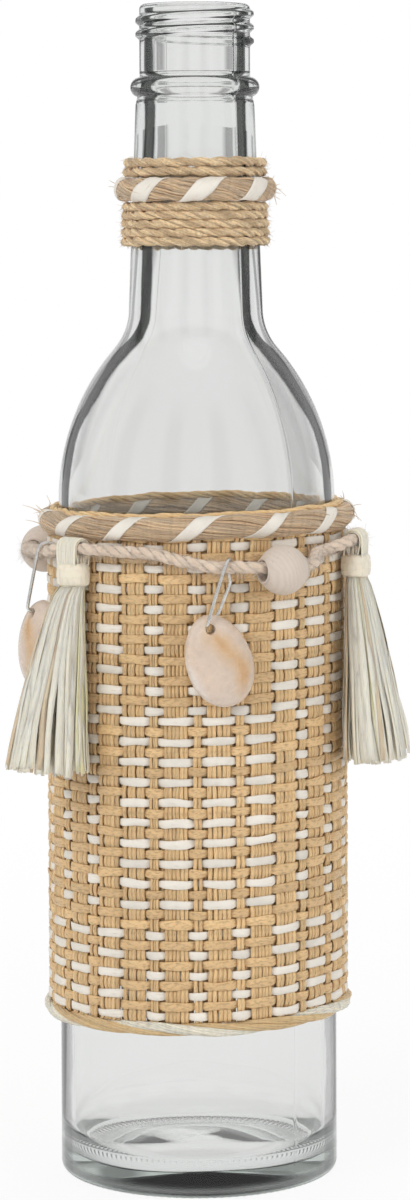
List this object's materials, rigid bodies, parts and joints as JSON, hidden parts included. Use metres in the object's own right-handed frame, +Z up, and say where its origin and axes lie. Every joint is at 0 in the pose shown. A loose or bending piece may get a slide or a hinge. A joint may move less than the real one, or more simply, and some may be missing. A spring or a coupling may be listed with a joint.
{
  "type": "bottle",
  "caption": "Open clear glass screw-neck bottle dressed with twine, a woven straw sleeve and a cord of beads, cowrie shells and raffia tassels; swinging charms",
  "frame": {"origin": "centre of the ring that the bottle stands on", "axes": "+Z up along the bottle's axis, -Y to the front side that the picture shows, +X to its right"},
  "size_m": [0.0913, 0.0941, 0.272],
  "materials": {
    "glass": "clear polished glass",
    "jute": "hairy natural twine",
    "raffia_rope": "peach raffia, twisted",
    "straw": "natural straw, satin",
    "white_paper": "matt paper strip",
    "wool": "fuzzy beige yarn",
    "pale_wood": "bare sanded wood",
    "raffia": "cream raffia, satin",
    "silver_wire": "bright wire",
    "cowrie": "glossy shell"
  },
  "bodies": {
    "bottle": {"glass_bottle": "glass", "neck_twine_upper": "jute", "neck_twine_lower": "jute", "neck_rope": "raffia_rope", "sleeve_warps": "straw", "sleeve_wefts_natural": "straw", "sleeve_wefts_white": "white_paper", "sleeve_top_rope": "raffia_rope", "sleeve_bottom_cord": "straw", "charm_cord": "wool", "charm_knot": "wool"},
    "bead_body_1": {"bead_1": "pale_wood"},
    "tassel_body_1": {"tassel_1": "raffia", "tassel_binding_1": "raffia"},
    "wire_body_1": {"shell_wire_1": "silver_wire"},
    "shell_body_1": {"shell_1": "cowrie"},
    "bead_body_2": {"bead_2": "pale_wood"},
    "tassel_body_2": {"tassel_2": "raffia", "tassel_binding_2": "raffia"},
    "wire_body_2": {"shell_wire_2": "silver_wire"},
    "shell_body_2": {"shell_2": "cowrie"},
    "bead_body_3": {"bead_3": "pale_wood"},
    "tassel_body_3": {"tassel_3": "raffia", "tassel_binding_3": "raffia"},
    "wire_body_3": {"shell_wire_3": "silver_wire"},
    "shell_body_3": {"shell_3": "cowrie"}
  },
  "joints": [
    {"name": "bead_1_spin", "type": "hinge", "parent": "bottle", "child": "bead_body_1", "pos_m": [-0.03647, 0.01939, 0.1432], "axis": [-0.4695, -0.8829, 0], "continuous": true},
    {"name": "tassel_1_swing", "type": "hinge", "parent": "bottle", "child": "tassel_body_1", "pos_m": [-0.028, -0.02657, 0.1475], "axis": [-0.6884, 0.7254, 0], "range_deg": [0, 90]},
    {"name": "wire_1_swing", "type": "hinge", "parent": "bottle", "child": "wire_body_1", "pos_m": [-0.03411, -0.01891, 0.146], "axis": [-0.4848, 0.8746, 0], "range_deg": [0, 80]},
    {"name": "shell_1_sway", "type": "hinge", "parent": "wire_body_1", "child": "shell_body_1", "pos_m": [-0.0348, -0.01766, 0.13238], "axis": [-0.8746, -0.4848, 0], "range_deg": [-35, 3]},
    {"name": "bead_2_spin", "type": "hinge", "parent": "bottle", "child": "bead_body_2", "pos_m": [0.01939, -0.03647, 0.1432], "axis": [0.8829, 0.4695, 0], "continuous": true},
    {"name": "tassel_2_swing", "type": "hinge", "parent": "bottle", "child": "tassel_body_2", "pos_m": [0.03671, -0.01193, 0.148], "axis": [-0.309, -0.9511, 0], "range_deg": [0, 90]},
    {"name": "wire_2_swing", "type": "hinge", "parent": "bottle", "child": "wire_body_2", "pos_m": [0.00686, -0.0389, 0.1441], "axis": [-0.9848, -0.1736, 0], "range_deg": [0, 80]},
    {"name": "shell_2_sway", "type": "hinge", "parent": "wire_body_2", "child": "shell_body_2", "pos_m": [0.00236, -0.03969, 0.13119], "axis": [0.1736, -0.9848, 0], "range_deg": [-30, 35]},
    {"name": "bead_3_spin", "type": "hinge", "parent": "bottle", "child": "bead_body_3", "pos_m": [0.02065, 0.03577, 0.1433], "axis": [-0.866, 0.5, 0], "continuous": true},
    {"name": "tassel_3_swing", "type": "hinge", "parent": "bottle", "child": "tassel_body_3", "pos_m": [-0.00999, 0.03728, 0.146], "axis": [0.9659, 0.2588, 0], "range_deg": [0, 90]},
    {"name": "wire_3_swing", "type": "hinge", "parent": "bottle", "child": "wire_body_3", "pos_m": [0.03455, 0.01915, 0.1455], "axis": [0.4848, -0.8746, 0], "range_deg": [0, 80]},
    {"name": "shell_3_sway", "type": "hinge", "parent": "wire_body_3", "child": "shell_body_3", "pos_m": [0.0349, 0.01852, 0.13182], "axis": [0.8746, 0.4848, 0], "range_deg": [-35, 35]}
  ]
}
